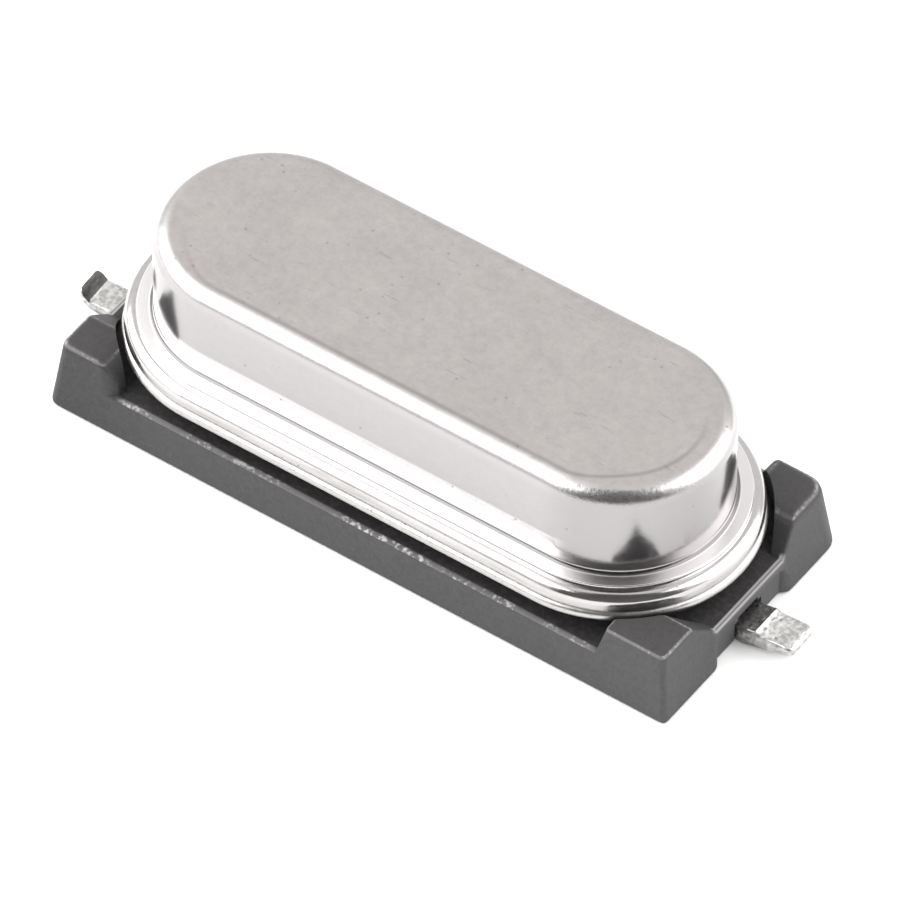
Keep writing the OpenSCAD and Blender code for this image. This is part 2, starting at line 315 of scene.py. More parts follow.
def round_selected(radius, segments):
    """Rounds the selected edges."""
    bpy.ops.mesh.bevel(offset=radius, segments=segments, profile=0.5, affect="EDGES", clamp_overlap=False)


def face_outwards():
    """Points every face of the piece in edit mode outwards."""
    bpy.ops.mesh.select_all(action="SELECT")
    bpy.ops.mesh.normals_make_consistent(inside=False)


def stop_editing():
    bpy.ops.object.mode_set(mode="OBJECT")


def middle(part):
    """Centre of an edge or a face."""
    points = [v.co for v in part.verts]
    return sum(points, Vector()) / len(points)


def steps_in(path, up=1):
    """Works the selected level face through a path of (radius, height) points, from its own rim inwards.

    up is 1 for a face that looks up, and -1 for one that looks down.
    """
    for (r0, z0), (r1, z1) in zip(path, path[1:]):
        if r0 - r1 < SAME:
            extrude(z=z1 - z0)
        else:
            bpy.ops.mesh.inset(
                thickness=r0 - r1, depth=(z1 - z0) * up, use_even_offset=True, use_boundary=True
            )


def arc(centre, radius, start, end, steps):
    """Points of (radius, height) round a centre, from one angle in degrees to another."""
    turn = [radians(start + (end - start) * i / steps) for i in range(steps + 1)]
    return [(centre[0] + radius * cos(t), centre[1] + radius * sin(t)) for t in turn]


def apply_all(piece):
    make_active(piece)
    for modifier in list(piece.modifiers):
        bpy.ops.object.modifier_apply(modifier=modifier.name)


def combine(piece, tool, operation="DIFFERENCE"):
    """Cuts, or joins, a piece with a tool, and puts the tool away."""
    clear_selection()
    modifier = piece.modifiers.new("combine", "BOOLEAN")
    modifier.operation = operation
    modifier.solver = "EXACT"
    modifier.object = tool
    apply_all(piece)
    bpy.data.objects.remove(tool)


def tidy_mesh(piece):
    """Merges doubled points and dissolves needless edges of flat faces."""
    edit(piece)
    bpy.ops.mesh.select_all(action="SELECT")
    bpy.ops.mesh.remove_doubles(threshold=0.0005 * MM)
    bpy.ops.mesh.select_all(action="SELECT")
    bpy.ops.mesh.dissolve_limited(angle_limit=radians(0.2))
    face_outwards()
    stop_editing()


def check_closed(piece):
    """Stops the script if a piece has open edges or is inside out."""
    shape = bmesh.new()
    shape.from_mesh(piece.data)
    loose = sum(1 for e in shape.edges if not e.is_manifold)
    volume = shape.calc_volume(signed=True)
    shape.free()
    if loose or volume <= 0:
        raise RuntimeError(f"{piece.name}: {loose} open edges, volume {volume:g}")


def finish_piece(piece, finish, node, smooth=28):
    """Smooths a piece up to an angle in degrees, checks it, gives it its finish and puts it for its node."""
    make_active(piece)
    bpy.ops.object.shade_smooth_by_angle(angle=radians(smooth))
    weighted = piece.modifiers.new("even_normals", "WEIGHTED_NORMAL")
    weighted.keep_sharp = True
    apply_all(piece)
    check_closed(piece)
    piece.data.materials.clear()
    piece.data.materials.append(finish)
    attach(piece, "root")
    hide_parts(node)
    clear_selection()


# ---- shader maths


class Value:
    """A node's output that can be used in sums."""

    def __init__(self, finish, socket):
        self.finish, self.socket = finish, socket

    def maths(self, operation, *others):
        node = self.finish.node("ShaderNodeMath", {"operation": operation}, dict(enumerate((self, *others))))
        return self.finish.out(node, 0)

    def __add__(self, other):
        return self.maths("ADD", other)

    def __sub__(self, other):
        return self.maths("SUBTRACT", other)

    def __rsub__(self, other):
        return self.maths("MULTIPLY_ADD", -1.0, other)

    def __mul__(self, other):
        return self.maths("MULTIPLY", other)

    def __pow__(self, other):
        return self.maths("POWER", other)

    __radd__ = __add__
    __rmul__ = __mul__

    def __abs__(self):
        return self.maths("ABSOLUTE")

    def at_least(self, other):
        return self.maths("MAXIMUM", other)

    def at_most(self, other):
        return self.maths("MINIMUM", other)

    def between(self, low, high):
        """0 below low, 1 above high, and a soft rise between; the other way round if low is the greater."""
        node = self.finish.node(
            "ShaderNodeMapRange", {"interpolation_type": "SMOOTHSTEP"},
            {"Value": self, "From Min": min(low, high), "From Max": max(low, high),
             "To Min": 0.0 if low < high else 1.0, "To Max": 1.0 if low < high else 0.0},
        )
        return self.finish.out(node, "Result")


class Finish:
    """A procedural material: its nodes, and what its shader gets."""

    FIRST_COLOUR, SECOND_COLOUR, MIXED_COLOUR = 6, 7, 2  # the Mix node's colour sockets, by number

    def __init__(self, name):
        self.material = bpy.data.materials.new(name)
        self.material.use_nodes = True
        self.tree = self.material.node_tree
        self.tree.nodes.clear()
        self.place = self.node("ShaderNodeTexCoord")
        self.spot = self.out(self.place, "Object")

    def node(self, kind, settings=None, sockets=None):
        """Adds a node: its settings first, then the values or links of its sockets."""
        node = self.tree.nodes.new(kind)
        for name, value in (settings or {}).items():
            setattr(node, name, value)
        for name, value in (sockets or {}).items():
            if isinstance(value, Value):
                self.tree.links.new(value.socket, node.inputs[name])
            else:
                node.inputs[name].default_value = value
        return node

    def out(self, node, name):
        return Value(self, node.outputs[name])

    def stretched(self, scale, turn=(0, 0, 0)):
        """The object's own coordinates, stretched and turned."""
        node = self.node("ShaderNodeMapping", None, {"Vector": self.spot, "Rotation": turn, "Scale": scale})
        return self.out(node, "Vector")

    def vector(self, *parts):
        node = self.node("ShaderNodeCombineXYZ", None, dict(zip("XYZ", parts)))
        return self.out(node, "Vector")

    def axes(self, vector=None):
        node = self.node("ShaderNodeSeparateXYZ", None, {"Vector": vector or self.spot})
        return [self.out(node, axis) for axis in "XYZ"]

    def facing(self):
        """X, Y and Z of the surface's own normal, in the part's frame."""
        return self.axes(self.out(self.place, "Normal"))

    def noise(self, size, detail=3.0, vector=None, rough=0.5):
        """Clouds from 0 to 1 with features of about this size in metres."""
        node = self.node(
            "ShaderNodeTexNoise", None,
            {"Vector": vector or self.spot, "Scale": 1 / size, "Detail": detail, "Roughness": rough},
        )
        return self.out(node, "Fac")

    def cells(self, size):
        """Distance to the nearest of many scattered points, in cells of this size in metres."""
        node = self.node("ShaderNodeTexVoronoi", None, {"Vector": self.spot, "Scale": 1 / size})
        return self.out(node, "Distance")

    def blend(self, amount, first, second):
        """A colour between two colours."""
        ends = [v if isinstance(v, Value) else (*v, 1.0) for v in (first, second)]
        node = self.node(
            "ShaderNodeMix", {"data_type": "RGBA"},
            {"Factor": amount, self.FIRST_COLOUR: ends[0], self.SECOND_COLOUR: ends[1]},
        )
        return self.out(node, self.MIXED_COLOUR)

    def bump(self, height, depth, base=None):
        """A normal from a height of 0 to 1, depth metres from low to high."""
        sockets = {"Height": height, "Distance": depth, "Strength": 1.0}
        if base is not None:
            sockets["Normal"] = base
        return self.out(self.node("ShaderNodeBump", None, sockets), "Normal")

    def shade(self, **sockets):
        """The Principled shader, its sockets named with underscores for spaces."""
        named = {name.replace("_", " "): value for name, value in sockets.items()}
        shader = self.node("ShaderNodeBsdfPrincipled", None, named)
        output = self.node("ShaderNodeOutputMaterial")
        self.tree.links.new(shader.outputs["BSDF"], output.inputs["Surface"])
        return self.material


def tinted(shade, factor):
    """A darker or lighter shade of a colour."""
    return tuple(min(1.0, c * factor) for c in shade)


def can_finish(finishes, sizes):
    """Tumbled nickel: matt and marked on the top, satin over the top radius, brighter on the drawn walls."""
    f = Finish("tumbled_nickel")
    can = finishes.can
    x, y, z = f.axes()
    up = f.facing()[2]
    skirt_z = CAP_LOW.z + sizes.skirt_h
    # distance from the line between the centres of the two round ends
    ends = (abs(x) - (CAP_HIGH.x - CAP_HIGH.y)).at_least(0.0)
    out = (ends * ends + y * y) ** 0.5

    # patterns, from 0 to 1
    grain = f.noise(0.055 * MM, 3.0, rough=0.6)
    sand = f.noise(0.055 * MM, 2.0, rough=0.65)
    mottle = f.noise(0.16 * MM, 4.0)
    cloud = f.noise(0.9 * MM, 3.0)
    drawn = f.vector(out * 10.0, z * 10.0, y.maths("ARCTAN2", x) * 3.0 * MM)
    streaks = f.noise(0.9 * MM, 4.0, drawn, rough=0.6).between(0.42, 0.68)

    # places on the can: 1 there, 0 elsewhere
    top = up.between(0.9, 0.995) * z.between(CAP_HIGH.z - 0.1 * MM, CAP_HIGH.z - 0.02 * MM)
    radius = z.between(CAP_HIGH.z - sizes.top_r, CAP_HIGH.z - sizes.top_r * 0.6)
    rim = radius * (1.0 - top)
    far_rim = rim * y.between(0.7 * MM, 1.5 * MM)
    front = x.between(2.9 * MM, 3.7 * MM) * y.between(0.4 * MM, -0.6 * MM)
    # painted light on the wall: a painted highlight at its foot, and painted shade above that and all the way
    # down at the right end
    high_wall = z.between(skirt_z + 0.4 * MM, skirt_z + 0.5 * MM).at_least(x.between(2.9 * MM, 3.5 * MM))
    above_skirt = z.between(skirt_z, skirt_z + 0.1 * MM)
    upright = abs(up).between(0.68, 0.4) * above_skirt * high_wall
    low_wall = above_skirt * (1.0 - high_wall)
    # the skirt's level shelf, which gets a painted highlight; the painted line of shade where the wall meets
    # it; and the skirt below it
    shelf = up.between(0.6, 0.9) * z.between(skirt_z - 0.05 * MM, skirt_z - 0.02 * MM) * (1.0 - radius)
    crease = (up.between(0.42, 0.58) * up.between(0.98, 0.92)
              * z.between(skirt_z + 0.003 * MM, skirt_z + 0.009 * MM)
              * z.between(skirt_z + 0.12 * MM, skirt_z + 0.09 * MM))
    skirt = z.between(skirt_z - sizes.step_h, skirt_z - 2 * sizes.step_h)
    weld = z.between(CAP_LOW.z + 0.12 * MM, CAP_LOW.z + 0.03 * MM)
    sanded = rim * (0.2 + front * 0.8)

    # marks of tumbling, and the faint ring that the drawing tool left along the top's edge
    pits = f.cells(0.2 * MM).between(0.2, 0.05) * f.noise(0.8 * MM).between(0.46, 0.6)
    scratches = f.noise(0.05 * MM, 2.0, f.stretched((0.12, 1.0, 1.0), (0, 0, 0.5))).between(0.66, 0.74)
    marks = (pits + scratches * 0.6).at_most(1.0) * top
    specks = f.cells(0.42 * MM).between(0.075, 0.03) * (1.0 - top)
    flat_r = sizes.body_w / 2 - sizes.top_r
    border = flat_r - 0.02 * MM - ends.between(0.0, 0.9 * MM) * 0.15 * MM
    ring = (abs(out - border).between(0.07 * MM, 0.0) * y.between(0.9 * MM, -0.4 * MM)
            * x.between(-4.6 * MM, -2.5 * MM) * top)

    # colour, from the walls to the marks
    wear = grain * 0.45 + mottle * 0.5
    tone = f.blend(wear, tinted(can, 0.88), tinted(can, 1.08))
    # painted shade on the upright wall above its foot, and all the way down at the right end
    tone = f.blend(upright, tone, f.blend(wear, tinted(can, 0.69), tinted(can, 0.85)))
    # painted shade on the front of the upright wall and on the far part of the top radius
    tone = f.blend((upright * front * 0.7).at_least(far_rim * 0.6), tone, tinted(can, 0.55))
    # painted highlight on the skirt's shelf and the wall's foot
    tone = f.blend(shelf.at_least(low_wall), tone, tinted(can, 1.35))
    # painted shade: a dark line in the crease where the wall meets the shelf
    tone = f.blend(crease * 0.9, tone, tinted(can, 0.2))
    tone = f.blend(skirt * streaks * (0.15 + cloud * 0.45), tone, finishes.stain)
    tumbling = grain * 0.5 + mottle * 0.45 + cloud * 0.3 - 0.12
    tone = f.blend(top, tone, f.blend(tumbling, tinted(finishes.top, 0.76), tinted(finishes.top, 1.24)))
    tone = f.blend(sanded * sand.between(0.5, 0.64) * 0.5, tone, tinted(can, 0.55))
    tone = f.blend(marks * 0.5 + ring * (0.3 + grain * 0.35) + specks * 0.7, tone, tinted(can, 0.4))

    rough = (
        finishes.can_gloss + (mottle - 0.5) * 0.05 + (cloud - 0.5) * 0.05
        + radius * (finishes.radius_matt - finishes.can_gloss)
        + top * (finishes.top_matt - finishes.radius_matt)
        + weld * 0.2 + shelf * 0.15 + sanded * sand * 0.14
    )
    height = (grain * 0.35 + skirt * streaks * 0.35 + sand * sanded * 2.2 + mottle * (0.55 + radius * 0.5)
              + marks * -1.1 + cloud * 0.3)
    ripple = f.bump(f.noise(1.1 * MM, 2.0), depth=3.0e-6)
    return f.shade(
        Base_Color=tone, Metallic=1.0, Roughness=rough, Normal=f.bump(height, depth=1.6e-6, base=ripple)
    )


def header_finish(finishes):
    """Plated header: a little duller than the can, mottled and flecked."""
    f = Finish("header_nickel")
    mottle = f.noise(0.1 * MM, 3.0)
    flecks = f.cells(0.11 * MM).between(0.22, 0.06)
    tone = f.blend(mottle, tinted(finishes.header, 0.8), tinted(finishes.header, 1.1))
    tone = f.blend(flecks * 0.5, tone, tinted(finishes.header, 0.4))
    return f.shade(
        Base_Color=tone, Metallic=1.0, Roughness=0.24 + mottle * 0.16,
        Normal=f.bump(mottle + flecks * -0.5, depth=3.2e-6),
    )


def lead_finish(finishes, name):
    """Tinned wire, pressed flat: press lines, darker spots, dents, painted shade by the base and along the
    lower side edges, and a painted dark reflection on the inner face of the turned-up tip.
    """
    f = Finish(name)
    x, _, z = f.axes()
    facing = f.facing()
    heel, tip = BASE_HIGH.x, LEAD_LEFT_LOW.x

    # patterns, from 0 to 1
    mottle = f.noise(0.07 * MM, 3.0)
    lines = f.noise(0.045 * MM, 2.0, f.stretched((0.2, 1.0, 1.0)))
    spots = f.cells(0.13 * MM).between(0.4, 0.14) * f.noise(0.25 * MM).between(0.38, 0.54)

    # painted dark reflection on the inner face of the turned-up tip, painted shade in the band by the base,
    # and painted shade along the lower side edges
    tip_reflection = x.between(tip + 0.27 * MM, tip + 0.22 * MM) * facing[0].between(0.3, 0.5)
    pressed = x.between(heel + 0.26 * MM, heel + 0.2 * MM) * x.between(heel, heel + 0.08 * MM)
    root_shade = pressed * f.noise(0.06 * MM, 2.0).between(0.36, 0.58)
    side_shade = abs(facing[1]).between(0.55, 0.8) * z.between(0.16 * MM, 0.1 * MM)

    tone = f.blend(mottle.between(0.3, 0.7), tinted(finishes.lead, 0.68), tinted(finishes.lead, 1.15))
    tone = f.blend((spots * 0.55).at_most(1.0 - tip_reflection), tone, tinted(finishes.lead, 0.3))
    # painted shade in the band by the base and along the lower side edges of the blade
    tone = f.blend((root_shade * 0.5).at_least(side_shade * 0.7), tone, tinted(finishes.lead, 0.22))
    # painted dark reflection on the inner face of the turned-up tip
    tone = f.blend(tip_reflection * (0.97 - mottle * 0.2), tone, finishes.tip_dark_reflection)
    height = lines * 0.6 + mottle * 0.9 + spots * -0.8 + root_shade * 0.4
    return f.shade(
        Base_Color=tone, Metallic=1.0, Roughness=0.24 + mottle * 0.16 + tip_reflection * 0.2,
        Normal=f.bump(height, depth=6.0e-6),
    )


def base_finish(finishes, sizes):
    """Moulded plastic: painted shade in the recess and on the slopes, side faces painted lighter than the
    tops and rubbed, painted highlights and worn flecks along the rails, sills and blocks.
    """
    f = Finish("moulded_plastic")
    x, y, z = f.axes()
    facing = f.facing()
    up = facing[2]
    high, rail = BASE_HIGH, sizes.rail_h
    edge_x = high.x - 0.15 * MM  # middle of the worn outer edge of a sill
    block_x = high.x - sizes.block_l

    # patterns, from 0 to 1
    grain = f.noise(0.028 * MM, 3.0, rough=0.75)
    speck = f.noise(0.05 * MM, 2.0).between(0.6, 0.78)
    cloud = f.noise(0.8 * MM, 3.0)
    handled = f.noise(0.09 * MM, 3.0, rough=0.7).between(0.42, 0.66) * (0.25 + cloud * 0.6)
    ragged = f.noise(0.07 * MM, 3.0).between(0.47, 0.62) * f.noise(0.6 * MM, 2.0).between(0.38, 0.58)

    # places on the base: 1 there, 0 elsewhere
    side = up.between(0.75, 0.35)
    level = abs(z - rail).between(0.1 * MM, 0.04 * MM)
    between_blocks = abs(y).between(sizes.sill_w * 0.58, sizes.sill_w * 0.5)
    end_wall = (abs(x).between(high.x - 0.45 * MM, high.x - 0.3 * MM) * abs(facing[0]).between(0.45, 0.8)
                * between_blocks * z.between(rail + 0.1 * MM, rail + 0.05 * MM))
    rails = abs(x).between(block_x - 0.15 * MM, block_x - 0.4 * MM)
    rail_top = abs(y).between(high.y - 0.195 * MM, high.y - 0.155 * MM) * rails
    rail_edge = rail_top * level * up.between(0.4, 0.6)
    # painted shade: the recess round the header
    recess = (level * up.between(0.7, 0.95) * abs(x).between(edge_x + 0.02 * MM, edge_x - 0.01 * MM)
              * (1.0 - rail_top))
    sill = level * between_blocks * abs(x).between(edge_x - 0.01 * MM, edge_x + 0.02 * MM)
    sill_line = level * between_blocks * abs(abs(x) - edge_x).between(0.028 * MM, 0.012 * MM)
    sill_edge = sill * up.between(0.95, 0.8) * up.between(0.2, 0.4)
    # painted shade: the slopes that face along Y
    shaded_slope = up.between(0.4, 0.5) * up.between(0.75, 0.65) * abs(facing[1]).between(0.6, 0.75)
    block_edge = (abs(z - (high.z - 0.02 * MM)).between(0.05 * MM, 0.02 * MM)
                  * up.between(0.97, 0.8) * up.between(0.15, 0.4))
    worn_most = abs(x - 1.1 * MM).between(2.6 * MM, 0.6 * MM)

    # partly painted light: side faces lighter than the tops, with painted shade towards the left end; partly
    # rubbed plastic
    rub_and_painted_light = side * (0.4 + cloud * 0.35 + grain * 0.65) * (0.7 + x.between(-5.2 * MM, -1.0 * MM) * 0.3)
    rub_and_painted_light = rub_and_painted_light.at_least(end_wall * (0.6 + grain * 0.6)).at_most(1.0)
    tone = f.blend(rub_and_painted_light, finishes.plastic, finishes.scuff_and_side_light)
    shaded = x.between(-3.2 * MM, -5.6 * MM) * side * 0.45 + up.between(0.9, 0.97) * 0.14
    tone = f.blend((handled * 0.42 + shaded).at_most(1.0), tone, tinted(finishes.plastic, 0.5))
    powder = speck * 0.25 * (0.4 + side) + sill * 0.6 + end_wall * 0.3
    tone = f.blend(powder, tone, tinted(finishes.scuff_and_side_light, 1.6))
    recess_shade_colour = finishes.recess
    speckled_recess_shade = f.blend(grain * 0.4 + handled * 0.9, tinted(recess_shade_colour, 0.7), tinted(recess_shade_colour, 1.9))
    # painted shade in the recess round the header and on the sill slopes
    tone = f.blend(recess.at_least(shaded_slope * (0.35 + cloud * 0.4)), tone, speckled_recess_shade)
    # painted highlights along the rail edges, the sills' outer edges and the block tops' edges, with worn
    # flecks along them
    flecks = (rail_edge * (0.15 + ragged * (0.4 + worn_most * 0.35)) + sill_line * 0.5 + sill_edge * 0.35
              + block_edge * (0.16 + ragged * 0.28)).at_most(1.0)
    tone = f.blend(flecks, tone, finishes.fleck_and_edge_highlight)
    return f.shade(
        Base_Color=tone, Roughness=0.52 + grain * 0.12 - flecks * 0.15, Specular_IOR_Level=0.25,
        Normal=f.bump(grain * 0.8 + speck * 0.5 + cloud * 0.5, depth=8.0e-6),
    )


def plain_metal(name, shade, rough, size):
    """A small metal part with a fine even mottle."""
    f = Finish(name)
    mottle = f.noise(size, 3.0)
    return f.shade(
        Base_Color=f.blend(mottle, tinted(shade, 0.82), tinted(shade, 1.08)), Metallic=1.0,
        Roughness=rough + mottle * 0.12, Normal=f.bump(mottle, depth=2.0e-6),
    )


def seal_finish(finishes):
    """Glass seal with a faint meniscus mottle."""
    f = Finish("seal_glass")
    cloud = f.noise(0.25 * MM, 3.0)
    return f.shade(
        Base_Color=f.blend(cloud, tinted(finishes.glass, 0.8), tinted(finishes.glass, 1.25)),
        Roughness=0.08 + cloud * 0.06, Coat_Weight=0.3, Normal=f.bump(cloud, depth=3.0e-6),
    )


def quartz_finish(finishes):
    """Polished quartz with faint lapping marks."""
    f = Finish("quartz")
    lines = f.noise(0.06 * MM, 2.0, f.stretched((1.0, 0.15, 1.0)))
    return f.shade(
        Base_Color=f.blend(lines, tinted(finishes.quartz, 0.93), finishes.quartz),
        Roughness=0.06 + lines * 0.08, Normal=f.bump(lines, depth=0.6e-6),
    )


def cement_finish(finishes):
    """Silver-filled cement, lumpy and dull."""
    f = Finish("silver_cement")
    lumps = f.noise(0.08 * MM, 4.0, rough=0.65)
    return f.shade(
        Base_Color=f.blend(lumps, tinted(finishes.cement, 0.7), tinted(finishes.cement, 1.3)),
        Metallic=0.4, Roughness=0.5 + lumps * 0.2, Normal=f.bump(lumps, depth=12.0e-6),
    )


# ---- operators


class CRYSTAL_OT_base(bpy.types.Operator):
    """Models the drafted base with its rails, corner blocks, sills, pocket, seat and lead ways"""

    bl_idname = "crystal.base"
    bl_label = "Moulded base"

    def execute(self, context):
        scene = context.scene
        self.s, self.lead = scene.crystal_base, scene.crystal_lead
        self.half_l, self.half_w, self.top = BASE_HIGH.x, BASE_HIGH.y, BASE_HIGH.z
        self.flange_r = HEADER_HIGH.y
        self.flange_run = 2 * (HEADER_HIGH.x - HEADER_HIGH.y)
        base = self.drafted_body()
        self.cut_long_sides(base)
        self.cut_sills(base)
        self.cut_notches(base)
        tidy_mesh(base)
        self.round_edges(base)
        self.cut_pocket(base)
        self.add_seat(base)
        for side in (LEFT, RIGHT):
            self.cut_lead_way(base, side)
        tidy_mesh(base)
        finish_piece(base, base_finish(scene.crystal_finish, self.s), "base")
        return {"FINISHED"}

    def drafted_body(self):
        s = self.s
        base = add_box("moulded_base", (-self.half_l, -self.half_w, 0), (self.half_l, self.half_w, self.top))
        edit(base)
        pick(base, "faces", lambda f: f.normal.z > 0.9)
        bpy.ops.transform.resize(
            value=(1 - s.draft / self.half_l, 1 - s.draft / self.half_w, 1),
            center_override=(0, 0, self.top),
        )
        for (x_side, y_side), corner_share in CORNER_SHARE.items():
            pick(base, "edges", lambda e: abs(e.verts[0].co.z - e.verts[1].co.z) > self.top / 2
                 and len(e.link_faces) == 2 and e.calc_face_angle(0) > radians(60)
                 and middle(e).x * x_side > 0 and middle(e).y * y_side > 0)
            round_selected(s.corner_r * corner_share, 6)
        stop_editing()
        return base

    def flared_tool(self, low, high, flares):
        """A box whose upper corners move out: flares maps (side in x, side in y) to (x, y) of that corner."""
        tool = add_box("tool", low, high)
        centre = (Vector(low) + Vector(high)) / 2
        edit(tool, "VERT")
        for (sx, sy), (x, y) in flares.items():
            pick(tool, "verts", lambda v: v.co.z > centre.z and (v.co.x - centre.x) * sx > 0
                 and (v.co.y - centre.y) * sy > 0)
            bpy.ops.transform.translate(value=(x, y, 0))
        stop_editing()
        return tool

    def cut_long_sides(self, base):
        s = self.s
        floor_x = self.half_l - s.draft - s.block_l - s.rail_slope
        reach = s.rail_slope * (1 + CLEAR / (self.top - s.rail_h))
        # foot of the slope at each block's inner end, and its run up to the tool's top: the near left slope
        # is short and steep, the far right one gentle
        slopes = {
            (LEFT, NEAR): (floor_x + 0.14 * MM, 0.1 * MM),
            (RIGHT, NEAR): (floor_x, reach),
            (LEFT, FAR): (floor_x, reach),
            (RIGHT, FAR): (floor_x, reach + 0.14 * MM),
        }
        for y_side in (NEAR, FAR):
            left_x, left_run = slopes[LEFT, y_side]
            right_x, right_run = slopes[RIGHT, y_side]
            y = sorted((-y_side * CLEAR, y_side * (self.half_w + CLEAR)))
            tool = self.flared_tool(
                (-left_x, y[0], s.rail_h), (right_x, y[1], self.top + CLEAR),
                {(LEFT, NEAR): (-left_run, 0), (LEFT, FAR): (-left_run, 0),
                 (RIGHT, NEAR): (right_run, 0), (RIGHT, FAR): (right_run, 0)},
            )
            combine(base, tool)

    def cut_sills(self, base):
        s = self.s
        reach = s.sill_slope * (1 + CLEAR / (self.top - s.rail_h))
        steep_reach = reach - 0.24 * MM  # the slope up to the far right block is steeper
        for side in (LEFT, RIGHT):
            x = sorted((0, side * (self.half_l + CLEAR)))
            far_reach = steep_reach if side == RIGHT else reach
            tool = self.flared_tool(
                (x[0], -s.sill_w / 2, s.rail_h), (x[1], s.sill_w / 2, self.top + CLEAR),
                {(LEFT, NEAR): (0, -reach), (RIGHT, NEAR): (0, -reach),
                 (LEFT, FAR): (0, far_reach), (RIGHT, FAR): (0, far_reach)},
            )
            combine(base, tool)

    def cut_notches(self, base):
        s = self.s
        for side in (LEFT, RIGHT):
            x = sorted((side * (self.half_l - s.notch_d), side * (self.half_l + s.notch_d)))
            tool = add_box("tool", (x[0], -s.notch_w / 2, -CLEAR), (x[1], s.notch_w / 2, s.notch_h))
            edit(tool, "EDGE")
            pick(tool, "verts", lambda v: abs(v.co.x) > self.half_l)
            bpy.ops.transform.resize(value=(1, NOTCH_FLARE, 1), center_override=(0, 0, 0))
            pick(tool, "edges", lambda e: abs(e.verts[0].co.x - e.verts[1].co.x) > s.notch_d
                 and middle(e).z > s.notch_h / 2)
            round_selected(NOTCH_TOP_ROUND, 4)
            stop_editing()
            combine(base, tool)

    def rounding(self, edge):
        """Radius for one edge, after what it borders."""
        if len(edge.link_faces) != 2 or not edge.is_convex or edge.calc_face_angle(0) < radians(25):
            return 0.0
        s, at = self.s, middle(edge)
        along = (edge.verts[0].co - edge.verts[1].co).normalized()
        block = (LEFT if at.x < 0 else RIGHT, NEAR if at.y < 0 else FAR)
        inner = abs(at.x) < self.half_l - 0.5 * MM  # at a block's inner end, away from the end faces
        # half the width of an end recess where it meets the end face, halfway along its flared cutter
        mouth_y = s.notch_w * (1 + NOTCH_FLARE) / 4
        if abs(along.z) > 0.9 and abs(abs(at.y) - mouth_y) < 0.03 * MM:
            return s.notch_d * 0.8
        if abs(along.z) > 0.5 and inner:
            return FLANK_ROUND[block]
        # the foot, the arch over a recess, a block's top, and what is left
        if at.z < 0.01 * MM:
            in_recess = abs(at.x) >= self.half_l - s.notch_d / 2 and abs(at.y) <= s.notch_w / 2
            return 0.0 if in_recess else s.foot_round
        if at.z < s.rail_h - 0.02 * MM and abs(at.y) < self.half_w / 2:
            return s.edge_round * 0.6
        if at.z > self.top - 0.01 * MM:
            return (INNER_END_ROUND if abs(along.y) > 0.9 and inner else TOP_ROUND)[block]
        return s.edge_round

    def round_edges(self, base):
        shape = bmesh.new()
        shape.from_mesh(base.data)
        layer = shape.edges.layers.float.new("bevel_weight_edge")
        shape.normal_update()
        for edge in shape.edges:
            edge[layer] = self.rounding(edge) / WIDEST_ROUND
        shape.to_mesh(base.data)
        shape.free()
        bevel = base.modifiers.new("round_edges", "BEVEL")
        bevel.limit_method = "WEIGHT"
        bevel.width = WIDEST_ROUND
        bevel.segments = 4
        bevel.use_clamp_overlap = False
        bevel.miter_outer = "MITER_ARC"
        apply_all(base)

    def cut_pocket(self, base):
        floor_z = self.s.rail_h + 0.004 * MM  # a hair above the rails, so no two levels coincide
        pocket = add_racetrack("tool", self.flange_r + self.s.pocket_gap, self.flange_run, floor_z, self.top)
        combine(base, pocket)

    def add_seat(self, base):
        root_z = self.s.rail_h / 2
        seat = add_racetrack(
            "tool", self.flange_r - self.s.seat_margin, self.flange_run, root_z, HEADER_LOW.z - root_z
        )
        combine(base, seat, "UNION")

    def cut_lead_way(self, base, side):
        """The upright hole, the slot for the bend and the channel out to the end face."""
        d = self.lead
        clear, x = d.wire_d / 2 + d.gap, d.pitch / 2
        out = self.half_l + 2 * CLEAR
        blade_x = self.half_l - d.right_w
        blade = (d.left_w if side == LEFT else d.right_w) / 2 + d.gap
        slot, channel = clear + 0.003 * MM, clear + 0.006 * MM  # each a hair wider, so no two walls coincide
        tools = [
            add_rod("tool", clear, (x, 0, -CLEAR), (x, 0, self.top)),
            add_box("tool", (x - 0.011 * MM, -slot, -CLEAR), (x + d.bend_r, slot, d.wire_d / 2 + d.bend_r)),
            add_box("tool", (x - 0.023 * MM, -channel, -CLEAR), (out, channel, d.wire_d + d.gap)),
            add_box("tool", (blade_x - d.gap, -blade, -CLEAR), (out, blade, d.root_t + d.gap)),
        ]
        for tool in tools:
            set_lead_side(tool, side, d)
            combine(base, tool)


def set_lead_side(piece, side, sizes):
    """Turns something made along +X to its own side, the left one splayed about its pin."""
    if side == RIGHT:
        return
    edit(piece)
    bpy.ops.mesh.select_all(action="SELECT")
    bpy.ops.transform.mirror(constraint_axis=(True, False, False), center_override=(0, 0, 0))
    face_outwards()
    stop_editing()
    pin = Vector((-sizes.pitch / 2, 0, 0))
    piece.matrix_world = (
        Matrix.Translation(pin) @ Matrix.Rotation(sizes.splay, 4, "Z") @ Matrix.Translation(-pin)
    )
    make_active(piece)
    bpy.ops.object.transform_apply(location=True, rotation=True, scale=True)


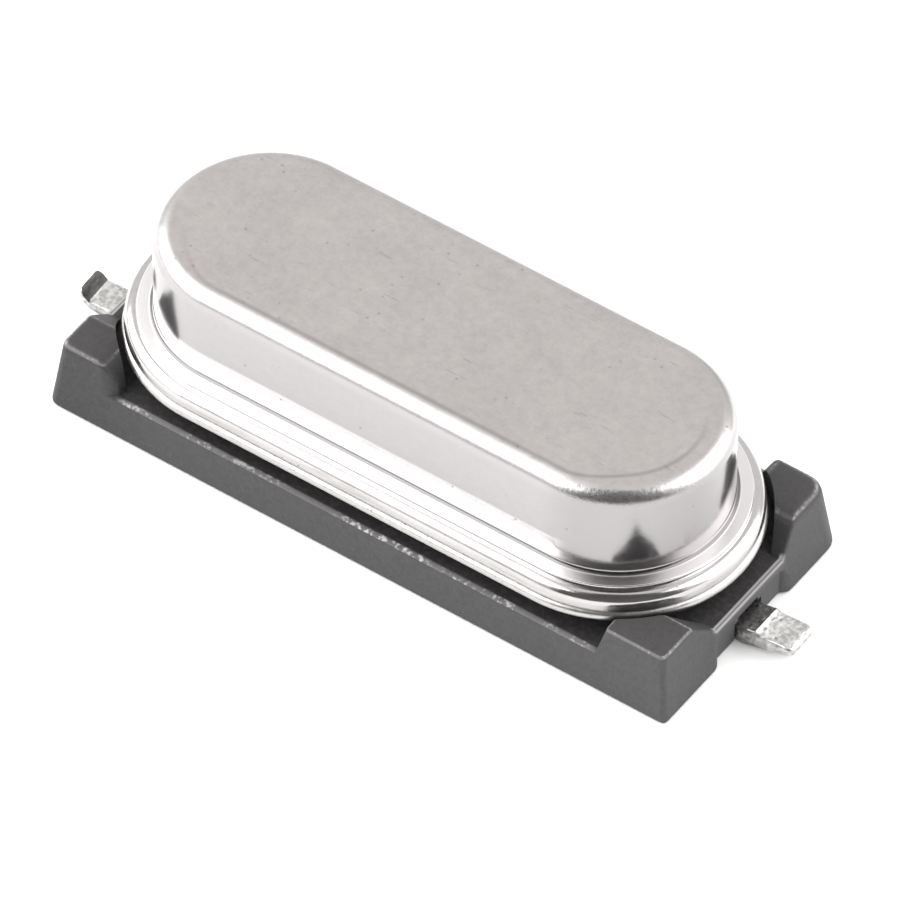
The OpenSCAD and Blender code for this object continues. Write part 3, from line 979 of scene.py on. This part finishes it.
class CRYSTAL_OT_header(bpy.types.Operator):
    """Models the header: its flange with a rounded rim, the plateau inside the can and the seal bores"""

    bl_idname = "crystal.header"
    bl_label = "Header"

    def execute(self, context):
        s = context.scene.crystal_header
        can = context.scene.crystal_can
        low, high = HEADER_LOW, HEADER_HIGH
        flange_r, run = high.y, 2 * (high.x - high.y)
        weld_z = CAP_LOW.z
        waist = 0.01 * MM  # upright part of the rim, between its two rounded edges
        waist_z = low.z + s.rim_r
        rim_in = flange_r - s.rim_r
        bore_r = can.body_w / 2 - can.wall
        hub_r = bore_r + 0.02 * MM  # of the face that the plateau rises from
        plateau_r = bore_r - s.plateau_gap
        header = add_racetrack("header_plate", flange_r, run, waist_z, waist)
        pick(header, "faces", lambda f: f.normal.z < -0.9)
        under = [(r, 2 * waist_z - z) for r, z in arc((rim_in, waist_z), s.rim_r, 0, 88, 6)]
        steps_in(under, up=-1)
        pick(header, "faces", lambda f: f.normal.z > 0.9)
        rim = arc((rim_in, waist_z + waist), s.rim_r, 0, 72, 8)
        steps_in(rim + [(rim[-1][0], weld_z), (hub_r, weld_z)])
        pick(header, "faces", lambda f: f.normal.z > 0.9 and len(f.verts) > MANY_SIDED)
        rise = high.z - weld_z
        steps_in([(hub_r, weld_z), (plateau_r, weld_z), (plateau_r, weld_z + rise * 0.8),
                  (plateau_r - rise * 0.06, weld_z + rise * 0.94), (plateau_r - rise * 0.2, weld_z + rise)])
        stop_editing()
        for side in (LEFT, RIGHT):
            x = side * context.scene.crystal_lead.pitch / 2
            bore = add_rod("tool", s.seal_d / 2, (x, 0, low.z - CLEAR), (x, 0, high.z + CLEAR), 64)
            combine(header, bore)
        tidy_mesh(header)
        finish_piece(header, header_finish(context.scene.crystal_finish), "header")
        return {"FINISHED"}


class CRYSTAL_OT_can(bpy.types.Operator):
    """Draws the can: skirt with its step, hollow foot radius, upright walls, top radius and hollow inside"""

    bl_idname = "crystal.can"
    bl_label = "Drawn can"

    def execute(self, context):
        s = context.scene.crystal_can
        low, high = CAP_LOW, CAP_HIGH
        wall_r, run = s.body_w / 2, 2 * (high.x - high.y)
        lap_r = high.y
        skirt_z = low.z + s.skirt_h
        lip_z = skirt_z - s.step_h
        foot_r = wall_r + s.foot_r
        step_r = foot_r + s.shelf_w
        shoulder = wall_r - s.top_r
        # lip, short slope up to the riser, riser, shelf, hollow foot radius, wall and top radius
        path = [(lap_r, low.z)]
        path += arc((lap_r - s.lip_r, lip_z - s.lip_r), s.lip_r, 0, 90, 12)
        path += [(step_r + 0.012 * MM, lip_z), (step_r + 0.003 * MM, lip_z + 0.009 * MM)]
        path += arc((step_r - s.step_r, skirt_z - s.step_r), s.step_r, 0, 90, 4)
        path += arc((foot_r, skirt_z + s.foot_r), s.foot_r, 268, 180, 10)
        path += arc((shoulder, high.z - s.top_r), s.top_r, 0, 88, 18)
        path += [(shoulder - 0.02 * MM, high.z)]
        can = add_racetrack("drawn_can", lap_r, run, low.z, path[1][1] - low.z)
        pick(can, "faces", lambda f: f.normal.z > 0.9)
        steps_in(path[1:])
        self.hollow(can, s)
        stop_editing()
        finish_piece(can, can_finish(context.scene.crystal_finish, s), "cap")
        return {"FINISHED"}

    def hollow(self, can, s):
        """Works the underside inwards and up, until the sheet has its thickness."""
        bore_r = s.body_w / 2 - s.wall
        roof_r = s.top_r - s.wall
        roof = CAP_HIGH.z - s.wall
        pick(can, "faces", lambda f: f.normal.z < -0.9 and len(f.verts) > MANY_SIDED)
        inside = [(CAP_HIGH.y, CAP_LOW.z), (bore_r, CAP_LOW.z), (bore_r, roof - roof_r)]
        inside += arc((bore_r - roof_r, roof - roof_r), roof_r, 15, 90, 5)
        steps_in(inside, up=-1)


class CRYSTAL_OT_leads(bpy.types.Operator):
    """Models both leads: round wire, its bend under the base and the blade that is pressed flat"""

    bl_idname = "crystal.leads"
    bl_label = "Leads"

    def execute(self, context):
        s = context.scene.crystal_lead
        for side, name in ((LEFT, "left"), (RIGHT, "right")):
            piece_name = "lead_blade_" + name
            lead = self.wire(s, piece_name)
            blade = self.turned_up(s) if side == LEFT else self.rising(s)
            combine(lead, blade, "UNION")
            set_lead_side(lead, side, s)
            tidy_mesh(lead)
            finish = lead_finish(context.scene.crystal_finish, piece_name + "_tin")
            finish_piece(lead, finish, "lead_" + name, smooth=40)
        return {"FINISHED"}

    def wire(self, s, name):
        """Down from the clip, round the bend and out to where it is pressed flat."""
        r, x = s.wire_d / 2, s.pitch / 2
        turn = Vector((x + s.bend_r, 0, r + s.bend_r))
        lead = add_rod(name, r, (x, 0, turn.z), (x, 0, LEAD_RIGHT_HIGH.z), WIRE_SIDES)
        edit(lead)
        pick(lead, "faces", lambda f: f.normal.z > 0.9)
        round_selected(0.03 * MM, 2)
        pick(lead, "faces", lambda f: f.normal.z < -0.9)
        bpy.ops.mesh.spin(steps=12, angle=pi / 2, center=turn, axis=(0, 1, 0))
        pick(lead, "faces", lambda f: len(f.verts) > WIRE_SIDES / 2 and middle(f).x > turn.x - CLEAR)
        extrude(x=BASE_HIGH.x - s.tuck - turn.x)
        # a blunt nose that the blade takes over: each step's length in mm, and its width over the last one's
        for reach, grow in ((0.07, 0.92), (0.06, 0.72), (0.045, 0.4)):
            extrude(x=reach * MM)
            face_x = max(v.co.x for v in bmesh.from_edit_mesh(lead.data).verts)
            bpy.ops.transform.resize(value=(1, grow, grow), center_override=(face_x, 0, r))
        bpy.ops.mesh.select_all(action="SELECT")
        bpy.ops.mesh.remove_doubles(threshold=0.001 * MM)
        face_outwards()
        stop_editing()
        return lead

    def blade(self, width, stations):
        """A flat bar along X through stations of (x, underside, top)."""
        last_x, last_low, last_high = stations[0]
        bar = add_box("tool", (last_x, -width / 2, last_low), (stations[1][0], width / 2, last_high))
        edit(bar)
        pick(bar, "faces", lambda f: f.normal.x > 0.9)
        for index, (x, low, high) in enumerate(stations[1:]):
            if index:
                extrude(x=x - last_x)
            halfway = (last_low + last_high) / 2
            pick(bar, "verts", lambda v: abs(v.co.x - x) < SAME and v.co.z < halfway)
            bpy.ops.transform.translate(value=(0, 0, low - last_low))
            halfway = (low + last_high) / 2
            pick(bar, "verts", lambda v: abs(v.co.x - x) < SAME and v.co.z > halfway)
            bpy.ops.transform.translate(value=(0, 0, high - last_high))
            last_x, last_low, last_high = x, low, high
            pick(bar, "faces", lambda f: all(abs(v.co.x - x) < SAME for v in f.verts))
        return bar

    def soften(self, bar, tip_x, s):
        """Rounds the tip corners seen from above, then every long edge."""
        pick(bar, "edges", lambda e: all(abs(v.co.x - tip_x) < SAME for v in e.verts)
             and abs(e.verts[0].co.y - e.verts[1].co.y) < SAME)
        round_selected(s.tip_r, 5)
        stop_editing()
        bevel = bar.modifiers.new("soften", "BEVEL")
        bevel.limit_method = "ANGLE"
        bevel.angle_limit = radians(62)
        bevel.width = s.edge_round
        bevel.segments = 3
        bevel.use_clamp_overlap = False
        apply_all(bar)

    def rising(self, s):
        """Wedge that rises to its tip, behind a crest where the press tool left off."""
        heel, tip = BASE_HIGH.x, LEAD_RIGHT_HIGH.x
        top = s.right_lift + s.tip_t
        slope = s.right_lift / (tip - heel)
        crest_x, foot_x, nose_x = heel + 0.21 * MM, heel + 0.27 * MM, tip - 1.5 * s.tip_r
        bar = self.blade(s.right_w, [
            (heel - s.root_l, 0, s.root_t), (heel, 0, s.root_t - s.crest / 4),
            (crest_x, slope * (crest_x - heel), s.root_t + s.crest),
            (foot_x, slope * (foot_x - heel), s.root_t),
            (nose_x, slope * (nose_x - heel), top - 0.01 * MM),
            (tip, s.right_lift, top - s.crest),
        ])
        self.soften(bar, tip, s)
        return bar

    def turned_up(self, s):
        """Level blade whose tip is bent up, its inner face leaning back towards the end."""
        heel, tip = BASE_HIGH.x, -LEAD_LEFT_LOW.x
        level = s.left_lift + s.tip_t
        bend_x = tip - s.tip_t - s.kick_r
        bar = self.blade(s.left_w, [
            (heel - s.root_l, 0, level), (heel, 0, level), (bend_x, s.left_lift, level),
            (bend_x + s.kick_r * 0.6, s.left_lift + 0.01 * MM, level + 0.012 * MM),
            (tip, s.left_lift + 0.12 * MM, s.kick_h),
        ])
        self.soften(bar, tip, s)
        return bar


class CRYSTAL_OT_inside(bpy.types.Operator):
    """Gives the parts inside the can their finishes: seals, clips, quartz blank, electrodes and cement"""

    bl_idname = "crystal.inside"
    bl_label = "Inner parts"

    def execute(self, context):
        finishes = context.scene.crystal_finish
        cement, glass = cement_finish(finishes), seal_finish(finishes)
        clips = plain_metal("clip_spring", finishes.clip, rough=0.22, size=0.09 * MM)
        film = plain_metal("electrode_film", finishes.electrode, rough=0.14, size=0.12 * MM)
        wanted = {
            "seal_left": glass, "seal_right": glass, "clip_left": clips, "clip_right": clips,
            "blank": quartz_finish(finishes), "electrode_top": film, "electrode_bottom": film,
            "cement_left": cement, "cement_right": cement,
        }
        for name, finish in wanted.items():
            node = NODES[name]
            if node.material_slots:
                for material_slot in node.material_slots:
                    material_slot.material = finish
            else:
                node.data.materials.append(finish)
        return {"FINISHED"}


def towards(azimuth, elevation):
    """Unit vector from the part towards a camera or lamp."""
    return Vector((sin(azimuth) * cos(elevation), -cos(azimuth) * cos(elevation), sin(elevation)))


class CRYSTAL_OT_stage(bpy.types.Operator):
    """Sets the pale floor, the soft panels, the even sky, the dark space round the camera and the camera"""

    bl_idname = "crystal.stage"
    bl_label = "Stage"

    def execute(self, context):
        s = context.scene.crystal_stage
        self.add_floor(context.scene.crystal_finish)
        self.add_panel("panel_left", s, s.panel_left, turn=-98, rise=40, width=0.88, height=0.66)
        self.add_panel("panel_right", s, s.panel_right, turn=90, rise=34, width=0.7, height=0.8)
        self.add_dark_card(s)
        self.set_sky(context, s)
        self.add_camera(context, s)
        context.scene.view_settings.view_transform = "Standard"
        return {"FINISHED"}

    def add_floor(self, finishes):
        """A wide round of pale paper, a hair below the base so that the two don't share a plane."""
        clear_selection()
        bpy.ops.mesh.primitive_circle_add(
            vertices=96, radius=4.0, fill_type="NGON", location=(0, 0, -0.01 * MM)
        )
        floor = start_piece("floor")
        edit(floor)
        bpy.ops.mesh.select_all(action="SELECT")
        for _ in range(4):
            bpy.ops.mesh.inset(thickness=0.5)
        stop_editing()
        f = Finish("floor_paper")
        tone = f.blend(f.noise(0.02, 2.0), tinted(finishes.floor, 0.99), finishes.floor)
        floor.data.materials.append(f.shade(Base_Color=tone, Roughness=0.85, Specular_IOR_Level=0.2))

    def add_panel(self, name, s, brightness, turn, rise, width, height):
        """A soft panel that faces the part: its turn from the camera and its rise are in degrees."""
        away = towards(s.azimuth + radians(turn), radians(rise))
        bpy.ops.object.light_add(type="AREA", location=away * PANEL_DISTANCE)
        panel = bpy.context.view_layer.objects.active
        panel.name = name
        panel.rotation_mode = "QUATERNION"
        panel.rotation_quaternion = away.to_track_quat("Z", "Y")
        panel.data.shape = "RECTANGLE"
        panel.data.size, panel.data.size_y = width, height
        panel.data.energy = brightness * pi * width * height
        clear_selection()

    def add_dark_card(self, s):
        """A dark curved card behind the camera: the unlit room that the bright metal mirrors."""
        clear_selection()
        half_angle = radians(46)  # how far it reaches to each side of the camera
        opening = 0.12  # radius of the opening in its roof, over its own
        bpy.ops.mesh.primitive_cylinder_add(
            vertices=72, radius=0.9, depth=1.8, end_fill_type="NOTHING", location=(0, 0, 0.95)
        )
        card = start_piece("dark_card")
        edit(card)
        behind_camera = towards(s.azimuth, 0).xy
        pick(card, "faces", lambda f: middle(f).xy.normalized().dot(behind_camera) < cos(half_angle))
        bpy.ops.mesh.delete(type="FACE")
        top = max(v.co.z for v in bmesh.from_edit_mesh(card.data).verts)
        pick(card, "edges", lambda e: all(v.co.z > top - CLEAR for v in e.verts))
        bpy.ops.mesh.extrude_edges_move()
        bpy.ops.transform.resize(value=(opening, opening, 1), center_override=(0, 0, top))
        stop_editing()
        f = Finish("dark_cloth")
        tone = f.blend(f.noise(0.05, 2.0), (0.085, 0.083, 0.081), (0.14, 0.137, 0.134))
        card.data.materials.append(f.shade(Base_Color=tone, Roughness=0.95, Specular_IOR_Level=0.0))
        card.visible_camera = card.visible_diffuse = card.visible_shadow = False

    def set_sky(self, context, s):
        world = bpy.data.worlds.new("even_sky")
        world.use_nodes = True
        sky = world.node_tree.nodes["Background"]
        sky.inputs["Color"].default_value = (1.0, 0.995, 0.985, 1.0)
        sky.inputs["Strength"].default_value = s.sky
        context.scene.world = world

    def add_camera(self, context, s):
        """Aims the camera past the target, then turns it about its own line of sight."""
        back = towards(s.azimuth, s.elevation)
        level = Vector((cos(s.azimuth), sin(s.azimuth), 0))
        upright = back.cross(level)
        right = level * cos(s.roll) + upright * sin(s.roll)
        up = upright * cos(s.roll) - level * sin(s.roll)
        target = Vector((0, 0, s.target_h)) + level * s.target_right - upright * s.target_down
        bpy.ops.object.camera_add()
        camera = context.view_layer.objects.active
        camera.name = "camera"
        turn = Matrix((right, up, back)).transposed().to_4x4()
        camera.matrix_world = Matrix.Translation(target + back * s.distance) @ turn
        camera.data.lens = s.lens
        camera.data.sensor_width = 36.0
        camera.data.clip_start, camera.data.clip_end = 0.01, 20.0
        context.scene.camera = camera
        clear_selection()


class CRYSTAL_PT_panel(bpy.types.Panel):
    """Lists the pieces of the crystal and their sizes"""

    bl_idname = "CRYSTAL_PT_panel"
    bl_label = "Crystal oscillator"
    bl_space_type = "VIEW_3D"
    bl_region_type = "UI"
    bl_category = "Crystal"

    def draw(self, context):
        for operator in OPERATORS:
            self.layout.operator(operator.bl_idname)
        for name, group in GROUPS.items():
            box = self.layout.box()
            for field in group.__annotations__:
                box.prop(getattr(context.scene, name), field)


OPERATORS = (
    CRYSTAL_OT_base, CRYSTAL_OT_header, CRYSTAL_OT_can, CRYSTAL_OT_leads, CRYSTAL_OT_inside, CRYSTAL_OT_stage,
)
CLASSES = (*GROUPS.values(), *OPERATORS, CRYSTAL_PT_panel)


def register():
    for cls in CLASSES:
        bpy.utils.register_class(cls)
    for name, group in GROUPS.items():
        setattr(bpy.types.Scene, name, bpy.props.PointerProperty(type=group))


def unregister():
    for name in GROUPS:
        delattr(bpy.types.Scene, name)
    for cls in reversed(CLASSES):
        bpy.utils.unregister_class(cls)


def main():
    register()
    bpy.ops.crystal.base()
    bpy.ops.crystal.header()
    bpy.ops.crystal.can()
    bpy.ops.crystal.leads()
    bpy.ops.crystal.inside()
    bpy.ops.crystal.stage()


if __name__ == "__main__":
    main()
